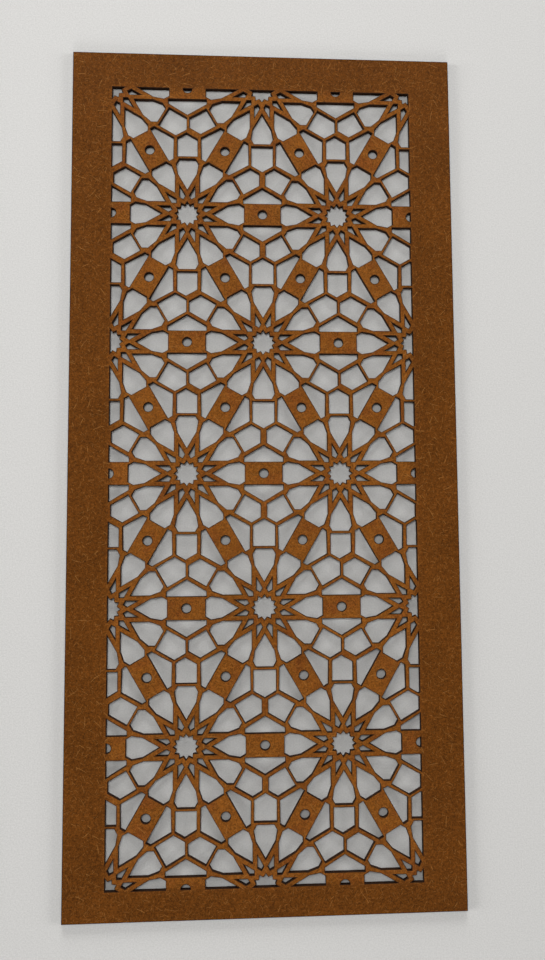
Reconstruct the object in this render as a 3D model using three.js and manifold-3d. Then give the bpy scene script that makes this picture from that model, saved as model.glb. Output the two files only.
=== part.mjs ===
// Mashrabiya screen: one thin wooden board with a window of cut fretwork in a plain border.
// Millimetres, +Z up. The board lies on its back with its face up, +X across and +Y along it,
// and the origin is at the centre of its underside.

import * as THREE from "three";
import { mergeVertices } from "three/addons/utils/BufferGeometryUtils.js";
import Module from "manifold-3d";

// Board
const BOARD_THICKNESS = 3;
const BORDER_LEFT = 31;
const BORDER_RIGHT = 33;
const BORDER_TOP = 28;
const BORDER_BOTTOM = 22;

// Pattern: twelve-pointed stars on a triangular grid, one row shifted against the next
const STAR_SPACING = 118;
const STARS_ACROSS = 2;
const ROWS_ALONG = 6;
const STAR_POINTS = 12;
const STAR_POINT_RADIUS = 9.5;
const STAR_NOTCH_RADIUS = 7.2;

// Straps that cross in the ring round a star
const STRAP_WIDTH = 3.8;
const STRAP_FROM_STAR = 0.067 * STAR_SPACING;
const KITE_FROM_STAR = 0.1126 * STAR_SPACING;

// Bars between the larger openings
const THIN_BAR = 2.3;
const WIDE_BAR = 5;
const PENTAGON_BASE_BAR = 2.1;

// Solid plate halfway between two stars, with a round hole
const PLATE_LENGTH = 29.2;
const PLATE_WIDTH = 17.8;
const PLATE_HOLE_DIAMETER = 7.1;
const PLATE_HOLE_SIDES = 6;

// Places of the bars' centre lines, as shares of the star spacing
const PETAL_SHOULDER_ALONG = 0.3115 * STAR_SPACING;
const PETAL_SHOULDER_ACROSS = 0.0812 * STAR_SPACING;
const PETAL_END_ACROSS = 0.0643 * STAR_SPACING;
const PENTAGON_BASE_FROM_STAR = 0.3857 * STAR_SPACING;
const PENTAGON_HALF_WIDTH = 0.0765 * STAR_SPACING;
const LARGE_PENTAGON_HALF_WIDTH = 0.0815 * STAR_SPACING;
const ROOF_BAR_SHIFT = 0.004 * STAR_SPACING;
const GABLE_HALF_LENGTH = 0.137 * STAR_SPACING;
const GABLE_EAVE_HEIGHT = 0.112 * STAR_SPACING;
const GABLE_RIDGE_HEIGHT = 0.194 * STAR_SPACING;

// Length by which the cutters pass each face of the board
const CUTTER_OVERRUN = 1;

const ROW_SPACING = STAR_SPACING * Math.sin(Math.PI / 3);
const WINDOW_WIDTH = STARS_ACROSS * STAR_SPACING;
const WINDOW_LENGTH = ROWS_ALONG * ROW_SPACING;
const BOARD_WIDTH = WINDOW_WIDTH + BORDER_LEFT + BORDER_RIGHT;
const BOARD_LENGTH = WINDOW_LENGTH + BORDER_TOP + BORDER_BOTTOM;
const WINDOW_CENTRE = new THREE.Vector2(
  (BORDER_LEFT - BORDER_RIGHT) / 2,
  (BORDER_BOTTOM - BORDER_TOP) / 2,
);

const point = (x, y) => new THREE.Vector2(x, y);
const radians = (degrees) => THREE.MathUtils.degToRad(degrees);

/** Moves each side of a convex outline inwards by its own distance; corners run anticlockwise. */
function inset(corners, distances) {
  const sides = corners.map((start, i) => {
    const end = corners[(i + 1) % corners.length];
    const along = end.clone().sub(start).normalize();
    const inwards = point(-along.y, along.x);
    return { start: start.clone().addScaledVector(inwards, distances[i]), along };
  });
  return sides.map((side, i) => {
    const before = sides[(i + sides.length - 1) % sides.length];
    const gap = side.start.clone().sub(before.start);
    const travel = gap.cross(side.along) / before.along.cross(side.along);
    return before.start.clone().addScaledVector(before.along, travel);
  });
}

/** Turns an outline about its own origin and then moves it to a place. */
function place(corners, degrees, centre) {
  const origin = point(0, 0);
  return corners.map((corner) => corner.clone().rotateAround(origin, radians(degrees)).add(centre));
}

/** Twelve-pointed opening at the middle of a star. */
function starOutline() {
  const corners = [];
  for (let i = 0; i < 2 * STAR_POINTS; i += 1) {
    const radius = i % 2 === 0 ? STAR_POINT_RADIUS : STAR_NOTCH_RADIUS;
    const angle = (Math.PI * i) / STAR_POINTS;
    corners.push(point(radius * Math.cos(angle), radius * Math.sin(angle)));
  }
  return corners;
}

/** Slim opening between two crossing straps, with its tip away from the star. */
function kiteOutline() {
  const halfAngle = Math.PI / STAR_POINTS;
  const tip = (STRAP_FROM_STAR - STRAP_WIDTH / 2) / Math.sin(halfAngle);
  const halfBase = (tip - KITE_FROM_STAR) * Math.tan(halfAngle);
  return [point(tip, 0), point(KITE_FROM_STAR, halfBase), point(KITE_FROM_STAR, -halfBase)];
}

/** Drop-shaped opening that points at the star; its flat end is at a plate or at a pentagon. */
function petalOutline(endDistance, endInset) {
  const tip = STRAP_FROM_STAR / Math.sin((2 * Math.PI) / STAR_POINTS);
  const cell = [
    point(tip, 0),
    point(PETAL_SHOULDER_ALONG, -PETAL_SHOULDER_ACROSS),
    point(endDistance, -PETAL_END_ACROSS),
    point(endDistance, PETAL_END_ACROSS),
    point(PETAL_SHOULDER_ALONG, PETAL_SHOULDER_ACROSS),
  ];
  const sides = [STRAP_WIDTH / 2, THIN_BAR / 2, endInset, THIN_BAR / 2, STRAP_WIDTH / 2];
  return inset(cell, sides);
}

/** Five-cornered opening on a long side of a plate, with a ridge away from the plate. */
function gableOutline() {
  const cell = [
    point(-GABLE_HALF_LENGTH, PLATE_WIDTH / 2),
    point(GABLE_HALF_LENGTH, PLATE_WIDTH / 2),
    point(GABLE_HALF_LENGTH, GABLE_EAVE_HEIGHT),
    point(0, GABLE_RIDGE_HEIGHT),
    point(-GABLE_HALF_LENGTH, GABLE_EAVE_HEIGHT),
  ];
  return inset(cell, [0, THIN_BAR / 2, THIN_BAR / 2, THIN_BAR / 2, THIN_BAR / 2]);
}

/**
 * Pentagon whose base faces a star and whose roof points at the middle of three stars.
 * Three meet there: a large one, and two small ones with a wide bar between them.
 */
function pentagonOutline(large, wideBarOnLeft) {
  const slope = Math.tan(Math.PI / 6);
  const cosine = Math.cos(Math.PI / 6);
  const halfWidth = (large ? LARGE_PENTAGON_HALF_WIDTH : PENTAGON_HALF_WIDTH) - THIN_BAR / 2;
  const base = PENTAGON_BASE_FROM_STAR + PENTAGON_BASE_BAR / 2 - STAR_SPACING / Math.sqrt(3);
  const thinSide = THIN_BAR / 2 + (large ? -ROOF_BAR_SHIFT : ROOF_BAR_SHIFT);
  const wideSide = large ? thinSide : WIDE_BAR / 2;
  const left = wideBarOnLeft ? wideSide : thinSide;
  const right = wideBarOnLeft ? thinSide : wideSide;
  const apex = (left - right) / cosine / (2 * slope);
  return [
    point(-halfWidth, base),
    point(halfWidth, base),
    point(halfWidth, -halfWidth * slope - right / cosine),
    point(apex, apex * slope - left / cosine),
    point(-halfWidth, -halfWidth * slope - left / cosine),
  ];
}

/** Round hole in a plate, with its corners set so that the area is that of the circle. */
function plateHoleOutline() {
  const step = (2 * Math.PI) / PLATE_HOLE_SIDES;
  const radius = (PLATE_HOLE_DIAMETER / 2) * Math.sqrt(step / Math.sin(step));
  const corners = [];
  for (let i = 0; i < PLATE_HOLE_SIDES; i += 1) {
    corners.push(point(radius * Math.cos(i * step), radius * Math.sin(i * step)));
  }
  return corners;
}

/** The star opening and the rings of kites and petals round it. */
function starOpenings(centre) {
  const openings = [place(starOutline(), 0, centre)];
  const turn = 360 / STAR_POINTS;
  const atPlate = petalOutline(STAR_SPACING / 2 - PLATE_LENGTH / 2, 0);
  const atPentagon = petalOutline(PENTAGON_BASE_FROM_STAR, PENTAGON_BASE_BAR / 2);
  for (let i = 0; i < STAR_POINTS; i += 1) {
    openings.push(place(kiteOutline(), (i + 0.5) * turn, centre));
    openings.push(place(i % 2 === 0 ? atPlate : atPentagon, i * turn, centre));
  }
  return openings;
}

/** The round hole of a plate and the gabled opening on each long side of it. */
function plateOpenings(centre, degrees) {
  return [
    place(plateHoleOutline(), degrees, centre),
    place(gableOutline(), degrees, centre),
    place(gableOutline(), degrees + 180, centre),
  ];
}

/**
 * Three pentagons round the middle of three stars. The first faces the star on the same column,
 * which is below the middle or, where the trio is flipped, above it.
 */
function pentagonTrio(centre, flipped, onMiddleColumn) {
  const largeIndex = onMiddleColumn ? 0 : 2;
  const openings = [];
  for (let i = 0; i < 3; i += 1) {
    const wideBarOnLeft = (i + 2) % 3 !== largeIndex;
    const outline = pentagonOutline(i === largeIndex, wideBarOnLeft);
    let corners = place(outline, i * 120, point(0, 0));
    if (flipped) {
      corners = corners.map((corner) => point(corner.x, -corner.y)).reverse();
    }
    openings.push(corners.map((corner) => corner.add(centre)));
  }
  return openings;
}

/** True where some of an outline lies inside the window. */
function reachesWindow(corners) {
  const box = new THREE.Box2().setFromPoints(corners);
  const size = new THREE.Vector2(WINDOW_WIDTH, WINDOW_LENGTH);
  const window = new THREE.Box2().setFromCenterAndSize(WINDOW_CENTRE, size);
  return window.intersectsBox(box);
}

/** All openings of the pattern that reach the window, each once. */
function patternOpenings() {
  const openings = [];
  const reach = Math.ceil(STARS_ACROSS / 2) + 1;
  const rows = Math.ceil(ROWS_ALONG / 2);
  for (let row = -rows; row <= rows; row += 1) {
    const shift = row % 2 === 0 ? 0.5 : 0;
    for (let column = -reach; column <= reach; column += 1) {
      const star = point((column + shift) * STAR_SPACING, row * ROW_SPACING).add(WINDOW_CENTRE);
      openings.push(...starOpenings(star));
      for (const degrees of [0, 60, 120]) {
        const half = point(STAR_SPACING / 2, 0).rotateAround(point(0, 0), radians(degrees));
        openings.push(...plateOpenings(star.clone().add(half), degrees));
      }
      for (const side of [1, -1]) {
        const middle = star.clone().add(point(0, (side * STAR_SPACING) / Math.sqrt(3)));
        openings.push(...pentagonTrio(middle, side < 0, column + shift === 0));
      }
    }
  }
  return openings.filter(reachesWindow);
}

const wasm = await Module();
wasm.setup();

/** Closed three.js geometry as a solid that can be joined and cut. */
function toSolid(geometry) {
  const bare = geometry.index ? geometry.toNonIndexed() : geometry.clone();
  bare.deleteAttribute("normal");
  bare.deleteAttribute("uv");
  const merged = mergeVertices(bare, 1e-4);
  return new wasm.Manifold(
    new wasm.Mesh({
      numProp: 3,
      vertProperties: new Float32Array(merged.attributes.position.array),
      triVerts: new Uint32Array(merged.index.array),
    }),
  );
}

/** Solid as a three.js geometry. */
function toGeometry(solid) {
  const mesh = solid.getMesh();
  const geometry = new THREE.BufferGeometry();
  geometry.setAttribute("position", new THREE.BufferAttribute(mesh.vertProperties, mesh.numProp));
  geometry.setIndex(new THREE.BufferAttribute(mesh.triVerts, 1));
  return geometry;
}

/** Straight prism over an outline, from one height to another. */
function prism(corners, bottom, top) {
  const geometry = new THREE.ExtrudeGeometry(new THREE.Shape(corners), {
    depth: top - bottom,
    bevelEnabled: false,
  });
  geometry.translate(0, 0, bottom);
  return toSolid(geometry);
}

/** Rectangle of a given width and length round a centre. */
function rectangle(width, length, centre) {
  const corners = [
    point(-width / 2, -length / 2),
    point(width / 2, -length / 2),
    point(width / 2, length / 2),
    point(-width / 2, length / 2),
  ];
  return corners.map((corner) => corner.add(centre));
}

/** The board with its fretwork, which is cut only inside the window. */
function buildBoard() {
  const bottom = -CUTTER_OVERRUN;
  const top = BOARD_THICKNESS + CUTTER_OVERRUN;
  const cutters = patternOpenings().map((corners) => prism(corners, bottom, top));
  const window = prism(rectangle(WINDOW_WIDTH, WINDOW_LENGTH, WINDOW_CENTRE), bottom, top);
  const fretwork = cutters.reduce((all, cutter) => all.add(cutter)).intersect(window);
  const board = prism(rectangle(BOARD_WIDTH, BOARD_LENGTH, point(0, 0)), 0, BOARD_THICKNESS);
  return toGeometry(board.subtract(fretwork));
}

const stainedBoard = new THREE.MeshStandardMaterial({
  color: new THREE.Color(0.3, 0.16, 0.08),
  roughness: 0.75,
  metalness: 0,
});

const screen = new THREE.Mesh(buildBoard(), stainedBoard);
screen.name = "fretwork_board";
screen.geometry.computeVertexNormals();

const group = new THREE.Group();
group.add(screen);

export default group;
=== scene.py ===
"""Looks of a mashrabiya screen: a thin stained board with cut star fretwork, lying on its back.

The board's corners, cuts and finishes are built here in metres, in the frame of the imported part:
+X across the board, +Y along it and +Z out of its face.
"""

import logging
import math
from dataclasses import dataclass, field
from enum import Enum

import bmesh
import bpy
from mathutils import Matrix, Vector

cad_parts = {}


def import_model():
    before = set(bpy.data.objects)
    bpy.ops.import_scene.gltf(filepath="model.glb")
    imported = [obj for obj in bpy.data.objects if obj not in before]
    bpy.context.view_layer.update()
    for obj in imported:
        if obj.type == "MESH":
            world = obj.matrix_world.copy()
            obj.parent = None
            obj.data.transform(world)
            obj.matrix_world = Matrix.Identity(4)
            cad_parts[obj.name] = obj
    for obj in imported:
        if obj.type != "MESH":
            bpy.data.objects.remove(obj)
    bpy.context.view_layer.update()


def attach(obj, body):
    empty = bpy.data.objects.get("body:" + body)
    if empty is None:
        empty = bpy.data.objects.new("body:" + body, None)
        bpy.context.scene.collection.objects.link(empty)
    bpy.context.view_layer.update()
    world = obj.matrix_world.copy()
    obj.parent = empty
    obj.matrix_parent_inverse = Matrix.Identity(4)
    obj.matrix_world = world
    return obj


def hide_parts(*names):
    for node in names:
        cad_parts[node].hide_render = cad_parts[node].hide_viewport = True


LOG = logging.getLogger("fretwork_screen")
MM = 0.001
FLAT_NORMAL = 0.99
RIGHT_TURN = 90.0

Outline = list[Vector]
Colour = tuple[float, float, float]


class PentagonKind(Enum):
    """The two widths of pentagon that meet at the middle of three stars."""

    LARGE = "large"
    SMALL = "small"


class RoofSide(Enum):
    """Side of a small pentagon's roof that the wide bar lies on."""

    LEFT = "left"
    RIGHT = "right"


class BoardPart(Enum):
    """Material places of the board, in the order of its material slots."""

    FACE = 0
    CUT = 1


def on_circle(radius: float, degrees: float) -> Vector:
    """Returns the point at an angle on a circle round the origin."""
    angle = math.radians(degrees)
    return Vector((radius * math.cos(angle), radius * math.sin(angle)))


def placed(outline: Outline, degrees: float, centre: Vector) -> Outline:
    """Turns an outline about its origin and moves it to a centre.

    Args:
        outline: Corners round the origin.
        degrees: Turn, anticlockwise.
        centre: Place of the origin after the turn.

    Returns:
        The corners at their place.
    """
    turn = Matrix.Rotation(math.radians(degrees), 2)
    return [turn @ corner + centre for corner in outline]


def flipped(outline: Outline) -> Outline:
    """Returns the outline mirrored top to bottom, still anticlockwise."""
    return [Vector((corner.x, -corner.y)) for corner in reversed(outline)]


def cross(a: Vector, b: Vector) -> float:
    """Returns the signed area between two flat vectors."""
    return a.x * b.y - a.y * b.x


def grown(outline: Outline, distance: float) -> Outline:
    """Moves every side of an anticlockwise outline outwards.

    Args:
        outline: Corners of the outline.
        distance: Width of the added rim; a negative one shrinks the outline.

    Returns:
        As many corners as before.
    """
    corners = []
    for index, corner in enumerate(outline):
        before = (corner - outline[index - 1]).normalized()
        after = (outline[(index + 1) % len(outline)] - corner).normalized()
        normal_before = Vector((before.y, -before.x))
        normal_after = Vector((after.y, -after.x))
        share = 1.0 + normal_before.dot(normal_after)
        corners.append(corner + (normal_before + normal_after) * (distance / share))
    return corners


def area(outline: Outline) -> float:
    """Returns the signed area of an outline."""
    return 0.5 * sum(cross(outline[i - 1], outline[i]) for i in range(len(outline)))


@dataclass(frozen=True)
class Window:
    """Rectangle of the board that the fretwork fills.

    Attributes:
        centre: Middle of the rectangle.
        width: Size along X.
        length: Size along Y.
    """

    centre: Vector
    width: float
    length: float

    def clip(self, outline: Outline, shortest: float) -> Outline:
        """Cuts an outline at the edges of the window.

        Args:
            outline: Corners of an opening, anticlockwise.
            shortest: Corners closer together than this become one.

        Returns:
            The corners inside the window, or none.
        """
        sides = (
            (Vector((1.0, 0.0)), self.width / 2),
            (Vector((-1.0, 0.0)), self.width / 2),
            (Vector((0.0, 1.0)), self.length / 2),
            (Vector((0.0, -1.0)), self.length / 2),
        )
        corners = [corner - self.centre for corner in outline]
        for normal, limit in sides:
            kept: Outline = []
            for index, corner in enumerate(corners):
                previous = corners[index - 1]
                depth = limit - normal.dot(corner)
                previous_depth = limit - normal.dot(previous)
                if depth * previous_depth < 0:
                    kept.append(previous.lerp(corner, previous_depth / (previous_depth - depth)))
                if depth >= 0:
                    kept.append(corner)
            corners = kept
        spaced: Outline = []
        for index, corner in enumerate(corners):
            if (corner - corners[index - 1]).length > shortest:
                spaced.append(corner + self.centre)
        return spaced


@dataclass
class StarPattern:
    """Fretwork pattern of twelve-pointed stars on a triangular grid.

    Sizes that end in share are shares of the star spacing.

    Attributes:
        spacing: Distance between neighbouring stars.
        across: Star spacings over the window's width.
        rows: Rows of stars over the window's length, counted from edge to edge.
        points: Points of a star.
        bar_gain: Width that each bar has over the lines of the shares.
        star_point_share: Radius of the tips of a star's opening.
        star_notch_share: Radius of the notches between the tips.
        kite_inner_share: Distance of a kite's inner sides from the star's middle.
        kite_outer_share: Distance of a kite's outer sides from the star's middle.
        petal_tip_share: Distance of a petal's tip from the star's middle.
        petal_flank: Corner along and across a petal where it widens less.
        petal_shoulder: Corner along and across a petal at its widest.
        petal_end_across_share: Half the width of a petal's flat end.
        petal_base_share: Distance of that end, where no plate ends the petal.
        plate_half_length_share: Half the length of a plate.
        plate_half_width_share: Half the width of a plate.
        plate_hole_share: Radius of a plate's hole.
        plate_hole_sides: Sides that make up the hole.
        gable_half_length_share: Half the length of a gabled opening.
        gable_eave_share: Distance of its eaves from the plate's middle line.
        gable_ridge_share: Distance of its ridge from the plate's middle line.
        pentagon_base_share: Distance of a pentagon's base from the star opposite.
        pentagon_half_width_share: Half the width of a small pentagon.
        large_half_width_share: Half the width of a large pentagon.
        large_roof_share: Half the bar on each side of a large pentagon's roof.
        small_roof_share: Half the bar on the plain sides of a small pentagon's roof.
        wide_roof_share: Half the wide bar between two small pentagons.
    """

    spacing: float = 118.0 * MM
    across: int = 2
    rows: int = 6
    points: int = 12
    bar_gain: float = 0.3 * MM
    star_point_share: float = 0.0825
    star_notch_share: float = 0.0625
    kite_inner_share: float = 0.0717
    kite_outer_share: float = 0.0524
    petal_tip_share: float = 0.1632
    petal_flank: tuple[float, float] = (0.272, 0.0628)
    petal_shoulder: tuple[float, float] = (0.3422, 0.0755)
    petal_end_across_share: float = 0.055
    plate_half_length_share: float = 0.1223
    plate_half_width_share: float = 0.074
    plate_hole_share: float = 0.0313
    plate_hole_sides: int = 32
    gable_half_length_share: float = 0.1285
    gable_eave_share: float = 0.1073
    gable_ridge_share: float = 0.1844
    petal_base_share: float = 0.3781
    pentagon_base_share: float = 0.3929
    pentagon_half_width_share: float = 0.068
    large_half_width_share: float = 0.073
    large_roof_share: float = 0.0045
    small_roof_share: float = 0.0125
    wide_roof_share: float = 0.020

    @property
    def row_spacing(self) -> float:
        """Distance between rows of stars."""
        return self.spacing * math.sin(math.radians(60))

    def star(self) -> Outline:
        """Returns the toothed opening at the middle of a star."""
        step = 180 / self.points
        radii = (self.star_point_share * self.spacing, self.star_notch_share * self.spacing)
        return [on_circle(radii[i % 2], i * step) for i in range(2 * self.points)]

    def kite(self) -> Outline:
        """Returns the slim opening between two crossing straps, along +X."""
        half_angle = math.radians(180 / self.points)
        inner = self.kite_inner_share * self.spacing
        outer = self.kite_outer_share * self.spacing
        tip = outer / math.sin(half_angle)
        heel = inner / math.sin(math.radians(RIGHT_TURN / 2))
        side = (tip * math.tan(half_angle) + heel) / (1 + math.tan(half_angle))
        across = side - heel
        return [Vector((tip, 0.0)), Vector((side, across)), Vector((heel, 0.0)), Vector((side, -across))]

    def petal(self, end_share: float) -> Outline:
        """Returns the drop-shaped opening that points at the star, along +X.

        Args:
            end_share: Distance of the flat end from the star.

        Returns:
            Seven corners, anticlockwise from the tip.
        """
        end = (end_share, self.petal_end_across_share)
        upper = [end, self.petal_shoulder, self.petal_flank]
        lower = [(x, -y) for x, y in reversed(upper)]
        shares = [(self.petal_tip_share, 0.0), *lower, *upper]
        return [Vector(share) * self.spacing for share in shares]

    def gable(self) -> Outline:
        """Returns the five-cornered opening on a long side of a plate."""
        half = self.gable_half_length_share
        low, eave, ridge = self.plate_half_width_share, self.gable_eave_share, self.gable_ridge_share
        shares = [(-half, low), (half, low), (half, eave), (0.0, ridge), (-half, eave)]
        return [Vector(share) * self.spacing for share in shares]

    def plate_hole(self) -> Outline:
        """Returns the round hole of a plate."""
        step = 360 / self.plate_hole_sides
        radius = self.plate_hole_share * self.spacing
        return [on_circle(radius, (i + 0.5) * step) for i in range(self.plate_hole_sides)]

    def pentagon(self, kind: PentagonKind, wide_side: RoofSide) -> Outline:
        """Returns a pentagon whose roof points at the origin, the middle of three stars.

        Args:
            kind: Which of the two pentagons.
            wide_side: Side of the wide bar, on a small pentagon.

        Returns:
            Five corners, anticlockwise from the base.
        """
        slope = math.tan(math.radians(30))
        cosine = math.cos(math.radians(30))
        if kind is PentagonKind.LARGE:
            half = self.large_half_width_share
            left = right = self.large_roof_share
        else:
            half = self.pentagon_half_width_share
            left = right = self.small_roof_share
            if wide_side is RoofSide.LEFT:
                left = self.wide_roof_share
            else:
                right = self.wide_roof_share
        base = self.pentagon_base_share - 1 / math.sqrt(3)
        apex = (left - right) / cosine / (2 * slope)
        shares = [
            (-half, base),
            (half, base),
            (half, -half * slope - right / cosine),
            (apex, apex * slope - left / cosine),
            (-half, -half * slope - left / cosine),
        ]
        return [Vector(share) * self.spacing for share in shares]

    def around_star(self, centre: Vector) -> list[Outline]:
        """Returns the opening of a star with its ring of kites and ring of petals."""
        turn = 360 / self.points
        plate_end = 0.5 - self.plate_half_length_share
        outlines = [placed(self.star(), 0, centre)]
        for index in range(self.points):
            end = plate_end if index % 2 == 0 else self.petal_base_share
            outlines.append(placed(self.kite(), (index + 0.5) * turn, centre))
            outlines.append(placed(self.petal(end), index * turn, centre))
        return outlines

    def around_plate(self, centre: Vector, degrees: float) -> list[Outline]:
        """Returns the round hole of a plate and the gabled openings along it."""
        return [
            placed(self.plate_hole(), degrees, centre),
            placed(self.gable(), degrees, centre),
            placed(self.gable(), degrees + 180, centre),
        ]

    def around_middle(self, centre: Vector, is_flipped: bool, is_middle_column: bool) -> list[Outline]:
        """Returns the three pentagons between three stars.

        Args:
            centre: The middle of the three stars.
            is_flipped: True where the star on the same column is above the middle.
            is_middle_column: True on the window's middle column, where the wide bar stands upright.

        Returns:
            Three outlines.
        """
        large_index = 0 if is_middle_column else 2
        outlines = []
        for index in range(3):
            kind = PentagonKind.LARGE if index == large_index else PentagonKind.SMALL
            side = RoofSide.RIGHT if (index + 2) % 3 == large_index else RoofSide.LEFT
            outline = placed(self.pentagon(kind, side), index * 120, Vector((0.0, 0.0)))
            if is_flipped:
                outline = flipped(outline)
            outlines.append([corner + centre for corner in outline])
        return outlines

    def openings(self, centre: Vector) -> list[Outline]:
        """Returns every opening that can reach a window round a centre."""
        outlines = []
        reach = self.across // 2 + 1
        half_rows = self.rows // 2
        for row in range(-half_rows, half_rows + 1):
            shift = 0.5 if row % 2 == 0 else 0.0
            for column in range(-reach, reach + 1):
                x = (column + shift) * self.spacing
                star = centre + Vector((x, row * self.row_spacing))
                outlines += self.around_star(star)
                for degrees in (0, 60, 120):
                    outlines += self.around_plate(star + on_circle(self.spacing / 2, degrees), degrees)
                for side in (1, -1):
                    middle = star + Vector((0.0, side * self.spacing / math.sqrt(3)))
                    outlines += self.around_middle(middle, side < 0, column + shift == 0)
        return [grown(outline, -self.bar_gain / 2) for outline in outlines]


class NodeSheet:
    """A material's node tree, with short calls that add and link its nodes."""

    def __init__(self, name: str) -> None:
        """Starts an empty material with an output.

        Args:
            name: Name of the material.
        """
        self.material = bpy.data.materials.new(name)
        self.material.use_nodes = True
        self.tree = self.material.node_tree
        self.tree.nodes.clear()
        self.output = self.tree.nodes.new("ShaderNodeOutputMaterial")
        self.place = self.tree.nodes.new("ShaderNodeTexCoord").outputs["Object"]

    def link(self, source: bpy.types.NodeSocket, target: bpy.types.NodeSocket) -> None:
        """Joins an output to an input."""
        self.tree.links.new(source, target)

    def noise(self, scale: float, detail: float = 2.0, roughness: float = 0.5,
              at: bpy.types.NodeSocket | None = None) -> bpy.types.NodeSocket:
        """Adds a noise texture on Object coordinates and returns its factor.

        Args:
            scale: Features per metre.
            detail: Octaves of finer noise.
            roughness: Strength of the finer octaves.
            at: Other coordinates to read.

        Returns:
            The Fac output.
        """
        node = self.tree.nodes.new("ShaderNodeTexNoise")
        node.inputs["Scale"].default_value = scale
        node.inputs["Detail"].default_value = detail
        node.inputs["Roughness"].default_value = roughness
        self.link(at or self.place, node.inputs["Vector"])
        return node.outputs["Fac"]

    def mapped(self, scale: tuple[float, float, float],
               offset: tuple[float, float, float] = (0.0, 0.0, 0.0)) -> bpy.types.NodeSocket:
        """Returns Object coordinates stretched by a scale and moved by an offset."""
        node = self.tree.nodes.new("ShaderNodeMapping")
        node.inputs["Scale"].default_value = scale
        node.inputs["Location"].default_value = offset
        self.link(self.place, node.inputs["Vector"])
        return node.outputs["Vector"]

    def ramp(self, source: bpy.types.NodeSocket, low: float, high: float,
             to_low: float = 0.0, to_high: float = 1.0) -> bpy.types.NodeSocket:
        """Maps a range of a value smoothly onto another range.

        Args:
            source: The value.
            low: Value that gives to_low.
            high: Value that gives to_high.
            to_low: Result at and below low.
            to_high: Result at and above high.

        Returns:
            The mapped value.
        """
        node = self.tree.nodes.new("ShaderNodeMapRange")
        node.interpolation_type = "SMOOTHSTEP"
        node.inputs["From Min"].default_value = low
        node.inputs["From Max"].default_value = high
        node.inputs["To Min"].default_value = to_low
        node.inputs["To Max"].default_value = to_high
        self.link(source, node.inputs["Value"])
        return node.outputs["Result"]

    def math(self, operation: str, first: bpy.types.NodeSocket | float,
             second: bpy.types.NodeSocket | float = 0.0) -> bpy.types.NodeSocket:
        """Adds a math node and returns its value.

        Args:
            operation: Name of the operation, such as MULTIPLY.
            first: First value or socket.
            second: Second value or socket.

        Returns:
            The result.
        """
        node = self.tree.nodes.new("ShaderNodeMath")
        node.operation = operation
        for value, socket in zip((first, second), node.inputs):
            if isinstance(value, bpy.types.NodeSocket):
                self.link(value, socket)
            else:
                socket.default_value = value
        return node.outputs["Value"]

    def mix(self, factor: bpy.types.NodeSocket, first: bpy.types.NodeSocket | tuple,
            second: bpy.types.NodeSocket | tuple) -> bpy.types.NodeSocket:
        """Mixes two colours by a factor.

        Args:
            factor: 0 gives the first colour and 1 the second.
            first: Colour or socket.
            second: Colour or socket.

        Returns:
            The mixed colour.
        """
        node = self.tree.nodes.new("ShaderNodeMix")
        node.data_type = "RGBA"
        self.link(factor, node.inputs[0])
        for value, socket in ((first, node.inputs[6]), (second, node.inputs[7])):
            if isinstance(value, bpy.types.NodeSocket):
                self.link(value, socket)
            else:
                socket.default_value = (*value, 1.0)
        return node.outputs[2]

    def split(self, source: bpy.types.NodeSocket) -> tuple[bpy.types.NodeSocket, ...]:
        """Returns the X, Y and Z parts of a vector."""
        node = self.tree.nodes.new("ShaderNodeSeparateXYZ")
        self.link(source, node.inputs[0])
        return tuple(node.outputs[:3])

    def bump(self, height: bpy.types.NodeSocket, strength: float,
             distance: float) -> bpy.types.NodeSocket:
        """Returns a normal that a height tilts.

        Args:
            height: Height from 0 to 1.
            strength: Share of the full effect.
            distance: Depth in metres of a height of 1.

        Returns:
            The normal.
        """
        node = self.tree.nodes.new("ShaderNodeBump")
        node.inputs["Strength"].default_value = strength
        node.inputs["Distance"].default_value = distance
        self.link(height, node.inputs["Height"])
        return node.outputs["Normal"]

    def surface(self, colour: bpy.types.NodeSocket, roughness: bpy.types.NodeSocket | float,
                normal: bpy.types.NodeSocket | None, specular: float) -> bpy.types.Material:
        """Finishes the material with a principled shader.

        Args:
            colour: Base colour.
            roughness: Roughness, a value or a socket.
            normal: Bumped normal, if any.
            specular: Specular level.

        Returns:
            The material.
        """
        shader = self.tree.nodes.new("ShaderNodeBsdfPrincipled")
        shader.inputs["Specular IOR Level"].default_value = specular
        self.link(colour, shader.inputs["Base Color"])
        if isinstance(roughness, bpy.types.NodeSocket):
            self.link(roughness, shader.inputs["Roughness"])
        else:
            shader.inputs["Roughness"].default_value = roughness
        if normal is not None:
            self.link(normal, shader.inputs["Normal"])
        self.link(shader.outputs["BSDF"], self.output.inputs["Surface"])
        return self.material


@dataclass(frozen=True)
class NoiseLayer:
    """A noise whose middle range is mapped smoothly onto another range.

    Attributes:
        scale: Features per metre.
        low: Noise value that gives to_low.
        high: Noise value that gives to_high.
        to_low: Result at and below low.
        to_high: Result at and above high.
        detail: Octaves of finer noise.
        roughness: Strength of the finer octaves.
    """

    scale: float
    low: float
    high: float
    to_low: float = 0.0
    to_high: float = 1.0
    detail: float = 3.0
    roughness: float = 0.5

    def value(self, sheet: NodeSheet) -> bpy.types.NodeSocket:
        """Adds the layer to a sheet and returns its mapped value."""
        noise = sheet.noise(self.scale, self.detail, self.roughness)
        return sheet.ramp(noise, self.low, self.high, self.to_low, self.to_high)


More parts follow.
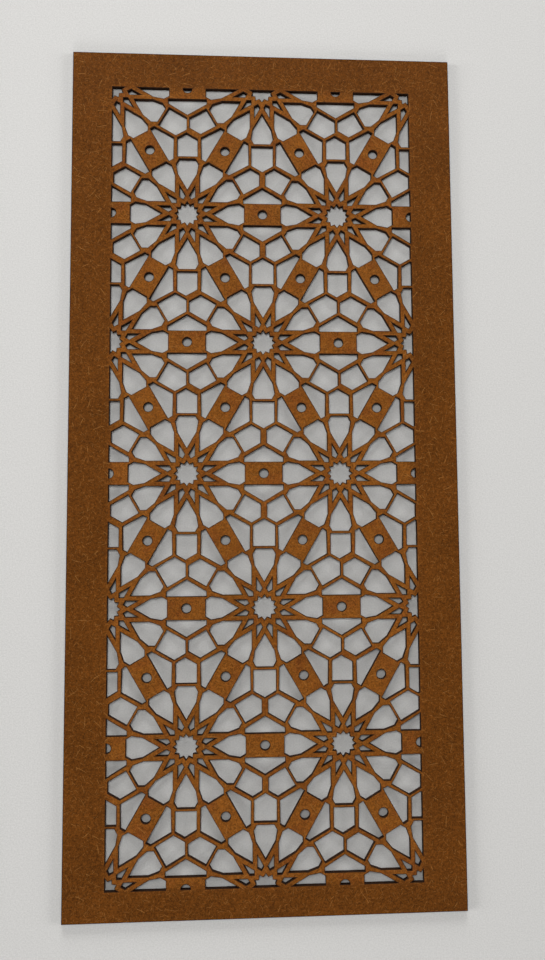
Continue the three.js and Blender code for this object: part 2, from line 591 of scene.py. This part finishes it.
@dataclass(frozen=True)
class FibreLayer:
    """Pale loose wood fibres pressed into the face, one curved hair in each cell of a grid.

    Attributes:
        cell: Distance between fibres.
        length: Half the length of a fibre.
        width: Half the width of a fibre.
        bend: How far a fibre curves, in one over metres.
        offset: Moves the layer against the others.
        strength: How much of its colour a fibre shows at most.
        shortest: Share of the length that the shortest fibre has.
        faintest: Share of the strength that the faintest fibre has.
        full_width: Share of the width that has the full colour.
        full_length: Share of the length that has the full colour.
    """

    cell: float
    length: float
    width: float
    bend: float
    offset: float
    strength: float
    shortest: float = 0.35
    faintest: float = 0.15
    full_width: float = 0.4
    full_length: float = 0.7

    def mask(self, sheet: NodeSheet) -> bpy.types.NodeSocket:
        """Adds the layer to a sheet.

        Args:
            sheet: The material's node sheet.

        Returns:
            Up to the strength on a fibre and 0 beside it.
        """
        place = sheet.mapped((1.0, 1.0, 0.0), (self.offset, self.offset, 0.0))
        cells = sheet.tree.nodes.new("ShaderNodeTexVoronoi")
        cells.voronoi_dimensions = "2D"
        cells.inputs["Scale"].default_value = 1.0 / self.cell
        sheet.link(place, cells.inputs["Vector"])
        local = sheet.tree.nodes.new("ShaderNodeVectorMath")
        local.operation = "SUBTRACT"
        sheet.link(place, local.inputs[0])
        sheet.link(cells.outputs["Position"], local.inputs[1])
        random_angle, random_length, random_shade = sheet.split(cells.outputs["Color"])
        turn = sheet.tree.nodes.new("ShaderNodeVectorRotate")
        turn.rotation_type = "Z_AXIS"
        sheet.link(local.outputs["Vector"], turn.inputs["Vector"])
        sheet.link(sheet.math("MULTIPLY", random_angle, 2 * math.pi), turn.inputs["Angle"])
        along, across, _ = sheet.split(turn.outputs["Vector"])
        sag = sheet.math("MULTIPLY", sheet.math("MULTIPLY", along, along), self.bend)
        off_line = sheet.math("ABSOLUTE", sheet.math("SUBTRACT", across, sag))
        on_line = sheet.ramp(off_line, self.width * self.full_width, self.width, 1.0, 0.0)
        length_share = sheet.ramp(random_length, 0.0, 1.0, self.shortest, 1.0)
        reach = sheet.math("DIVIDE", sheet.math("ABSOLUTE", along), length_share)
        in_reach = sheet.ramp(reach, self.length * self.full_length, self.length, 1.0, 0.0)
        shade = sheet.ramp(random_shade, 0.1, 0.9, self.faintest, 1.0)
        mask = sheet.math("MULTIPLY", sheet.math("MULTIPLY", on_line, in_reach), shade)
        return sheet.math("MULTIPLY", mask, self.strength)


@dataclass(frozen=True)
class StainedFace:
    """Brown stain on fibreboard: mottled, with pale fibres and a few dark flecks.

    Attributes:
        border: Colour of the plain border.
        fretwork: Colour of the fretwork, which took the stain lighter.
        redder: Colour of the fretwork where the stain is redder.
        deep: Colour of the darker flecks.
        fibre: Colour of a pale fibre.
        fade: Width over which the border's tone turns into the fretwork's.
        patches: Where the fretwork's stain is redder.
        shades: Layers that make the stain lighter or darker, from broad to fine.
        flecks: Where the darker flecks are.
        sheen: Roughness, a little uneven.
        grain: Scale of the fine grain that the bump follows.
        grain_depth: Depth of the grain.
        grain_strength: Share of the bump's full effect.
        fibre_height: Height of a fibre, as a share of the grain's depth.
        specular: Specular level, low as on a dry stain.
        fibres: Layers of pale fibres.
    """

    border: Colour = (0.092, 0.0290, 0.0038)
    fretwork: Colour = (0.152, 0.0500, 0.0066)
    redder: Colour = (0.131, 0.0385, 0.0063)
    deep: Colour = (0.040, 0.012, 0.0024)
    fibre: Colour = (0.33, 0.150, 0.038)
    fade: float = 7.0 * MM
    patches: NoiseLayer = NoiseLayer(60.0, 0.42, 0.72, roughness=0.6)
    shades: tuple[NoiseLayer, ...] = (
        NoiseLayer(22.0, 0.3, 0.7, 0.91, 1.09),
        NoiseLayer(520.0, 0.3, 0.7, 0.80, 1.20, detail=4.0, roughness=0.7),
        NoiseLayer(1150.0, 0.33, 0.67, 0.68, 1.32, detail=2.0, roughness=0.6),
    )
    flecks: NoiseLayer = NoiseLayer(620.0, 0.62, 0.74, 0.0, 0.65, detail=2.0)
    sheen: NoiseLayer = NoiseLayer(300.0, 0.3, 0.7, 0.60, 0.78)
    grain: float = 900.0
    grain_depth: float = 0.12 * MM
    grain_strength: float = 0.35
    fibre_height: float = 0.6
    specular: float = 0.03
    fibres: tuple[FibreLayer, ...] = (
        FibreLayer(11.0 * MM, 5.0 * MM, 0.20 * MM, 22.0, 0.0, 0.62),
        FibreLayer(3.4 * MM, 1.5 * MM, 0.17 * MM, 60.0, 0.37, 0.50),
        FibreLayer(5.8 * MM, 2.7 * MM, 0.16 * MM, -35.0, 0.71, 0.50),
    )

    def material(self, window: Window) -> bpy.types.Material:
        """Builds the material.

        Args:
            window: Window of the fretwork, inside which the stain is lighter.

        Returns:
            The material.
        """
        sheet = NodeSheet("stained_fibreboard")
        stain = sheet.mix(self.patches.value(sheet), self.fretwork, self.redder)
        colour = sheet.mix(self.inside(sheet, window), self.border, stain)
        for shade in self.shades:
            colour = self.scaled(sheet, colour, shade.value(sheet))
        colour = sheet.mix(self.flecks.value(sheet), colour, self.deep)
        masks = [layer.mask(sheet) for layer in self.fibres]
        fibres = masks[0]
        for mask in masks[1:]:
            fibres = sheet.math("MAXIMUM", fibres, mask)
        colour = sheet.mix(fibres, colour, self.fibre)
        grain = sheet.noise(self.grain, 3.0, 0.6)
        height = sheet.math("ADD", grain, sheet.math("MULTIPLY", fibres, self.fibre_height))
        normal = sheet.bump(height, self.grain_strength, self.grain_depth)
        return sheet.surface(colour, self.sheen.value(sheet), normal, self.specular)

    def inside(self, sheet: NodeSheet, window: Window) -> bpy.types.NodeSocket:
        """Returns 1 inside the window, fading to 0 on the border."""
        x, y, _ = sheet.split(sheet.place)
        over_x = sheet.math("ABSOLUTE", sheet.math("SUBTRACT", x, window.centre.x))
        over_y = sheet.math("ABSOLUTE", sheet.math("SUBTRACT", y, window.centre.y))
        outside = sheet.math(
            "MAXIMUM",
            sheet.math("SUBTRACT", over_x, window.width / 2),
            sheet.math("SUBTRACT", over_y, window.length / 2),
        )
        return sheet.ramp(outside, -self.fade, self.fade * 0.5, 1.0, 0.0)

    def scaled(self, sheet: NodeSheet, colour: bpy.types.NodeSocket,
               factor: bpy.types.NodeSocket) -> bpy.types.NodeSocket:
        """Returns a colour made lighter or darker by a factor."""
        node = sheet.tree.nodes.new("ShaderNodeVectorMath")
        node.operation = "SCALE"
        sheet.link(colour, node.inputs[0])
        sheet.link(factor, node.inputs["Scale"])
        return node.outputs["Vector"]


@dataclass(frozen=True)
class CharredCut:
    """Cut edge, charred dark brown by the cutter, with fine marks across the board's thickness.

    Attributes:
        soot: Darkest colour.
        scorch: Lighter brown between the marks.
        roughness: Roughness all over.
        specular: Specular level.
        marks: Marks per metre along X, Y and Z.
        mark_depth: Depth of a mark.
        mark_strength: Share of the bump's full effect.
    """

    soot: Colour = (0.006, 0.0028, 0.0012)
    scorch: Colour = (0.026, 0.0095, 0.0030)
    roughness: float = 0.85
    specular: float = 0.08
    marks: tuple[float, float, float] = (2400.0, 2400.0, 260.0)
    mark_depth: float = 0.1 * MM
    mark_strength: float = 0.3

    def material(self) -> bpy.types.Material:
        """Builds the material."""
        sheet = NodeSheet("charred_cut")
        marks = sheet.noise(1.0, 2.0, 0.6, at=sheet.mapped(self.marks))
        colour = sheet.mix(sheet.ramp(marks, 0.35, 0.7), self.soot, self.scorch)
        normal = sheet.bump(marks, self.mark_strength, self.mark_depth)
        return sheet.surface(colour, self.roughness, normal, self.specular)


@dataclass
class FretworkBoard:
    """The board: a plain border round a window of fretwork.

    Attributes:
        thickness: Thickness of the board.
        border_left: Border on the low X side.
        border_right: Border on the high X side.
        border_top: Border on the high Y side.
        border_bottom: Border on the low Y side.
        burnt_rim: Width of the charred rim along each cut, seen from the face.
        rim_fall: How far the rim falls from the face to the cut.
        smallest_opening: Area below which a clipped opening is left out.
        shortest_side: Corners of a clipped opening closer than this become one.
        pattern: The pattern of the fretwork.
    """

    thickness: float = 3.0 * MM
    border_left: float = 31.0 * MM
    border_right: float = 33.0 * MM
    border_top: float = 28.0 * MM
    border_bottom: float = 22.0 * MM
    burnt_rim: float = 0.42 * MM
    rim_fall: float = 0.12 * MM
    smallest_opening: float = 1.2 * MM * MM
    shortest_side: float = 0.15 * MM
    pattern: StarPattern = field(default_factory=StarPattern)

    @property
    def window(self) -> Window:
        """The window that the fretwork fills."""
        centre = Vector((self.border_left - self.border_right, self.border_bottom - self.border_top)) / 2
        width = self.pattern.across * self.pattern.spacing
        return Window(centre, width, self.pattern.rows * self.pattern.row_spacing)

    def outer_outline(self) -> Outline:
        """Returns the four corners of the board."""
        x = (self.window.width + self.border_left + self.border_right) / 2
        y = (self.window.length + self.border_top + self.border_bottom) / 2
        return [Vector((-x, -y)), Vector((x, -y)), Vector((x, y)), Vector((-x, y))]

    def opening_outlines(self) -> list[Outline]:
        """Returns every opening, cut at the window's edges."""
        found: dict[tuple[int, int], Outline] = {}
        for outline in self.pattern.openings(self.window.centre):
            clipped = self.window.clip(outline, self.shortest_side)
            if len(clipped) < 3 or area(clipped) < self.smallest_opening:
                continue
            middle = sum(clipped, Vector((0.0, 0.0))) / len(clipped)
            found[(round(middle.x / MM), round(middle.y / MM))] = clipped
        return list(found.values())

    def ring(self, mesh: bmesh.types.BMesh, outline: Outline, height: float) -> list[bmesh.types.BMEdge]:
        """Adds a closed loop of edges, with each corner's number on its vertex, and returns them."""
        number = mesh.verts.layers.int["corner"]
        verts = [mesh.verts.new((corner.x, corner.y, height)) for corner in outline]
        for index, vert in enumerate(verts):
            vert[number] = index
        return [mesh.edges.new((verts[i - 1], verts[i])) for i in range(len(verts))]

    def extrude_wall(self, mesh: bmesh.types.BMesh, outline: Outline,
                     rim: float) -> list[bmesh.types.BMEdge]:
        """Runs the wall of one cut from the face down to the back.

        Args:
            mesh: Mesh that receives the wall.
            outline: Outline of the cut below its rim.
            rim: Width that the rim adds on the face; negative on the board's outer edge.

        Returns:
            The edges of the loop at the back.
        """
        number = mesh.verts.layers.int["corner"]
        loop = self.ring(mesh, grown(outline, rim), self.thickness)
        for height in (self.thickness - self.rim_fall, 0.0):
            made = bmesh.ops.extrude_edge_only(mesh, edges=loop)["geom"]
            loop = [item for item in made if isinstance(item, bmesh.types.BMEdge)]
            for vert in {vert for edge in loop for vert in edge.verts}:
                corner = outline[vert[number]]
                vert.co = (corner.x, corner.y, height)
        return loop

    def build(self) -> bpy.types.Object:
        """Builds the board's mesh.

        Returns:
            The board as an object at the origin.
        """
        mesh = bmesh.new()
        mesh.verts.layers.int.new("corner")
        self.extrude_wall(mesh, self.outer_outline(), -self.burnt_rim)
        for outline in self.opening_outlines():
            self.extrude_wall(mesh, outline, self.burnt_rim)
        open_edges = [edge for edge in mesh.edges if edge.is_boundary]
        for height in (0.0, self.thickness):
            level = [edge for edge in open_edges if abs(edge.verts[0].co.z - height) < self.rim_fall / 2]
            bmesh.ops.triangle_fill(mesh, use_beauty=True, use_dissolve=False, edges=level)
        bmesh.ops.recalc_face_normals(mesh, faces=mesh.faces)
        for face in mesh.faces:
            is_flat = abs(face.normal.z) > FLAT_NORMAL
            face.material_index = (BoardPart.FACE if is_flat else BoardPart.CUT).value
        LOG.info("open edges left: %d", sum(1 for edge in mesh.edges if not edge.is_manifold))
        data = bpy.data.meshes.new("star_fretwork")
        mesh.to_mesh(data)
        mesh.free()
        board = bpy.data.objects.new("star_fretwork", data)
        bpy.context.scene.collection.objects.link(board)
        return board

    def dress(self, board: bpy.types.Object) -> None:
        """Gives the board its finishes, in the order of BoardPart."""
        board.data.materials.append(StainedFace().material(self.window))
        board.data.materials.append(CharredCut().material())


@dataclass
class Studio:
    """Pale floor, soft lights and the camera.

    Attributes:
        floor_size: Side of the square floor.
        floor_colour: Colour of the floor.
        floor_grain: Scale of the floor's faint grain.
        grain_tone: Tone of the grain's darker parts, as a share of the colour.
        grain_depth: Depth of the grain.
        sensor: Long side of the camera's sensor, in millimetres.
        focal_length: Focal length of the lens, in millimetres.
        camera_place: Place of the camera over the board.
        camera_turn: Turn of the camera from straight down, in degrees.
        sky_colour: Colour of the even surrounding light.
        sky_light: Strength of the even surrounding light.
        side_lights: Direction in degrees from +X and strength of each side light.
        lamp_distance: Distance of each lamp from the board's middle.
        side_elevation: Angle of the side lights over the floor, in degrees.
        side_spread: Angle that a side light fills, in degrees.
        high_azimuth: Direction of the high lamp, in degrees from +X.
        high_elevation: Angle of the high lamp over the floor, in degrees.
        high_size: Side of the square high lamp.
        high_watts: Power of the high lamp.
    """

    floor_size: float = 8.0
    floor_colour: Colour = (0.52, 0.513, 0.50)
    floor_grain: float = 900.0
    grain_tone: float = 0.86
    grain_depth: float = 0.3 * MM
    sensor: float = 36.0
    focal_length: float = 25.88
    camera_place: tuple[float, float, float] = (-0.0208, -0.0441, 0.5315)
    camera_turn: tuple[float, float, float] = (3.891, -2.844, -0.348)
    sky_colour: Colour = (1.0, 0.985, 0.96)
    sky_light: float = 0.14
    side_lights: tuple[tuple[str, float, float], ...] = (
        ("top_light", 90.0, 3.2),
        ("left_light", 180.0, 2.7),
        ("right_light", 0.0, 2.25),
        ("bottom_light", 270.0, 1.85),
    )
    lamp_distance: float = 1.8
    side_elevation: float = 14.0
    side_spread: float = 18.0
    high_azimuth: float = 115.0
    high_elevation: float = 66.0
    high_size: float = 0.75
    high_watts: float = 15.5

    def build_floor(self) -> bpy.types.Object:
        """Builds the floor just under the board."""
        mesh = bmesh.new()
        bmesh.ops.create_grid(mesh, x_segments=1, y_segments=1, size=self.floor_size / 2)
        data = bpy.data.meshes.new("floor")
        mesh.to_mesh(data)
        mesh.free()
        floor = bpy.data.objects.new("floor", data)
        floor.data.materials.append(self.floor_material())
        bpy.context.scene.collection.objects.link(floor)
        return floor

    def floor_material(self) -> bpy.types.Material:
        """Builds the floor's matt, faintly grained finish."""
        sheet = NodeSheet("pale_floor")
        grain = sheet.noise(self.floor_grain, 3.0, 0.6)
        darker = tuple(self.grain_tone * part for part in self.floor_colour)
        colour = sheet.mix(sheet.ramp(grain, 0.3, 0.7), darker, self.floor_colour)
        normal = sheet.bump(grain, 0.4, self.grain_depth)
        return sheet.surface(colour, 0.7, normal, 0.3)

    def hang(self, lamp: bpy.types.Light, azimuth: float, elevation: float) -> None:
        """Puts a lamp at its distance from the board's middle and faces it there.

        Args:
            lamp: The lamp.
            azimuth: Direction from the board, in degrees from +X.
            elevation: Angle over the floor, in degrees.
        """
        holder = bpy.data.objects.new(lamp.name, lamp)
        height = math.radians(elevation)
        side = on_circle(self.lamp_distance * math.cos(height), azimuth)
        holder.location = (side.x, side.y, self.lamp_distance * math.sin(height))
        holder.rotation_euler = (-holder.location).to_track_quat("-Z", "Y").to_euler()
        holder.visible_camera = False
        bpy.context.scene.collection.objects.link(holder)

    def build_side_light(self, name: str, azimuth: float, strength: float) -> None:
        """Adds an even light that grazes the board from one side, as from a far window.

        Args:
            name: Name of the light.
            azimuth: Direction that it comes from, in degrees from +X.
            strength: Its strength.
        """
        light = bpy.data.lights.new(name, "SUN")
        light.energy = strength
        light.angle = math.radians(self.side_spread)
        self.hang(light, azimuth, self.side_elevation)

    def build_high_lamp(self) -> None:
        """Adds the soft lamp that hangs over the board's top left."""
        lamp = bpy.data.lights.new("high_lamp", "AREA")
        lamp.shape = "SQUARE"
        lamp.size = self.high_size
        lamp.energy = self.high_watts
        self.hang(lamp, self.high_azimuth, self.high_elevation)

    def build_sky(self) -> None:
        """Sets an even pale surrounding light."""
        world = bpy.data.worlds.new("studio")
        world.use_nodes = True
        background = world.node_tree.nodes["Background"]
        background.inputs["Color"].default_value = (*self.sky_colour, 1.0)
        background.inputs["Strength"].default_value = self.sky_light
        bpy.context.scene.world = world

    def build_camera(self) -> None:
        """Places the camera above the board, nearly straight down."""
        lens = bpy.data.cameras.new("camera")
        lens.sensor_width = self.sensor
        lens.lens = self.focal_length
        lens.clip_start = 0.01
        camera = bpy.data.objects.new("camera", lens)
        camera.location = self.camera_place
        camera.rotation_euler = [math.radians(turn) for turn in self.camera_turn]
        bpy.context.scene.collection.objects.link(camera)
        bpy.context.scene.camera = camera

    def build(self) -> None:
        """Builds the floor, the lights and the camera."""
        self.build_floor()
        self.build_sky()
        for name, azimuth, strength in self.side_lights:
            self.build_side_light(name, azimuth, strength)
        self.build_high_lamp()
        self.build_camera()
        bpy.context.scene.view_settings.view_transform = "Standard"


def main() -> None:
    """Builds the screen, its finishes and the studio."""
    logging.basicConfig(level=logging.INFO)
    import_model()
    screen = FretworkBoard()
    board = screen.build()
    screen.dress(board)
    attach(board, "root")
    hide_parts("fretwork_board")
    LOG.info("%s: %d faces", board.name, len(board.data.polygons))
    Studio().build()


if __name__ == "__main__":
    main()
